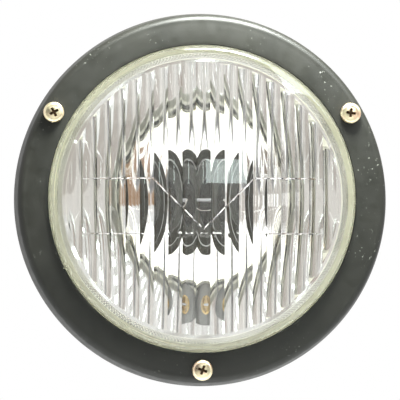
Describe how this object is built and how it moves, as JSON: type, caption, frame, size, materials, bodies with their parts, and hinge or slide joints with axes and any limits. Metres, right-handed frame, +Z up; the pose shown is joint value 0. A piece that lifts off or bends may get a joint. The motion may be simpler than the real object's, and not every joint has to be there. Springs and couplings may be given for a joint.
{
  "type": "tractor headlight",
  "caption": "Round recessed tractor headlamp: a black rim on sprung aiming screws, a fluted domed glass, a reflector with a dipping bulb and side light, and a deep drawn bowl.",
  "frame": {"origin": "on the lamp's axis at the rear face of the panel gasket, where the lamp meets its panel", "axes": "-Y is the way the light goes, +Z is up, +X is to the right seen from the front"},
  "size_m": [0.18, 0.1174, 0.18],
  "materials": {
    "bowl_paint": "satin black enamel on drawn steel",
    "rim_paint": "satin black enamel, slightly dusty",
    "rubber": "matt",
    "cream_seal": "matt",
    "yellow_zinc": "yellow passivated zinc plate",
    "spring_steel": "bright drawn wire",
    "bright_steel": "zinc plated",
    "lamp_glass": "clear pressed glass, fluted inside",
    "bulb_glass": "clear blown glass",
    "silvering": "bright aluminised parabola on steel",
    "rivet_alloy": "satin",
    "brass": "bright",
    "insulator": "black glazed",
    "holder_plastic": "grey moulded",
    "phenolic": "brown laminate",
    "tungsten": "dull coiled wire"
  },
  "bodies": {
    "housing": {"bowl": "bowl_paint", "panel_gasket": "rubber", "aim_bushes": "yellow_zinc", "cable_grommet": "rubber", "earth_terminal": "brass", "earth_rivet": "rivet_alloy", "left_spring": "spring_steel", "right_spring": "spring_steel", "bottom_spring": "spring_steel"},
    "aim_carrier": {"upper_spring_cups": "yellow_zinc"},
    "left_screw": {"left_screw": "yellow_zinc"},
    "right_screw": {"right_screw": "yellow_zinc"},
    "bottom_screw": {"bottom_screw": "yellow_zinc"},
    "light_unit": {"rim": "rim_paint", "front_gasket": "cream_seal", "lens": "lamp_glass", "reflector_seal": "cream_seal", "reflector": "silvering", "unit_clips": "bright_steel", "lower_spring_cup": "yellow_zinc", "bulb_seat": "bright_steel", "seat_rivets": "rivet_alloy", "retainer_spring": "spring_steel", "bulb_flange": "brass", "bulb_cap": "brass", "bulb_insulator": "insulator", "bulb_terminals": "bright_steel", "bulb_globe": "bulb_glass", "glass_stem": "bulb_glass", "filament_posts": "bright_steel", "main_filament": "tungsten", "dip_filament": "tungsten", "dip_shield": "bright_steel"},
    "bulb_retainer": {"bulb_retainer": "bright_steel"},
    "side_light": {"sidelight_holder": "holder_plastic", "sidelight_insulator": "phenolic", "sidelight_contact": "brass", "sidelight_cap": "brass", "sidelight_globe": "bulb_glass", "sidelight_filament": "tungsten"}
  },
  "joints": [
    {"name": "aim_pan", "type": "hinge", "parent": "housing", "child": "aim_carrier", "pos_m": [0, -0.0066, 0], "axis": [0, 0, 1], "range_deg": [-2, 2], "deforming": ["left_spring", "right_spring"]},
    {"name": "aim_tilt", "type": "hinge", "parent": "aim_carrier", "child": "light_unit", "pos_m": [0, -0.0066, 0.04125], "axis": [1, 0, 0], "range_deg": [-2, 2], "deforming": ["bottom_spring"]},
    {"name": "left_screw_turn", "type": "hinge", "parent": "aim_carrier", "child": "left_screw", "pos_m": [-0.07145, -0.03, 0.04125], "axis": [0, 1, 0], "range_deg": [-1123, 1123]},
    {"name": "right_screw_turn", "type": "hinge", "parent": "aim_carrier", "child": "right_screw", "pos_m": [0.07145, -0.03, 0.04125], "axis": [0, 1, 0], "range_deg": [-1123, 1123]},
    {"name": "bottom_screw_turn", "type": "hinge", "parent": "light_unit", "child": "bottom_screw", "pos_m": [0, -0.03, -0.0825], "axis": [0, 1, 0], "range_deg": [-1944, 1944]},
    {"name": "retainer_turn", "type": "hinge", "parent": "light_unit", "child": "bulb_retainer", "pos_m": [0, 0.03205, 0], "axis": [0, 1, 0], "range_deg": [0, 45]},
    {"name": "side_light_pull", "type": "slide", "parent": "light_unit", "child": "side_light", "axis": [0, 1, 0], "range_m": [0, 0.012]}
  ],
  "couplings": [
    {"joint": "right_screw_turn", "follows": "aim_pan", "ratio": 561.14},
    {"joint": "left_screw_turn", "follows": "aim_pan", "ratio": -561.14},
    {"joint": "bottom_screw_turn", "follows": "aim_tilt", "ratio": 971.93}
  ]
}
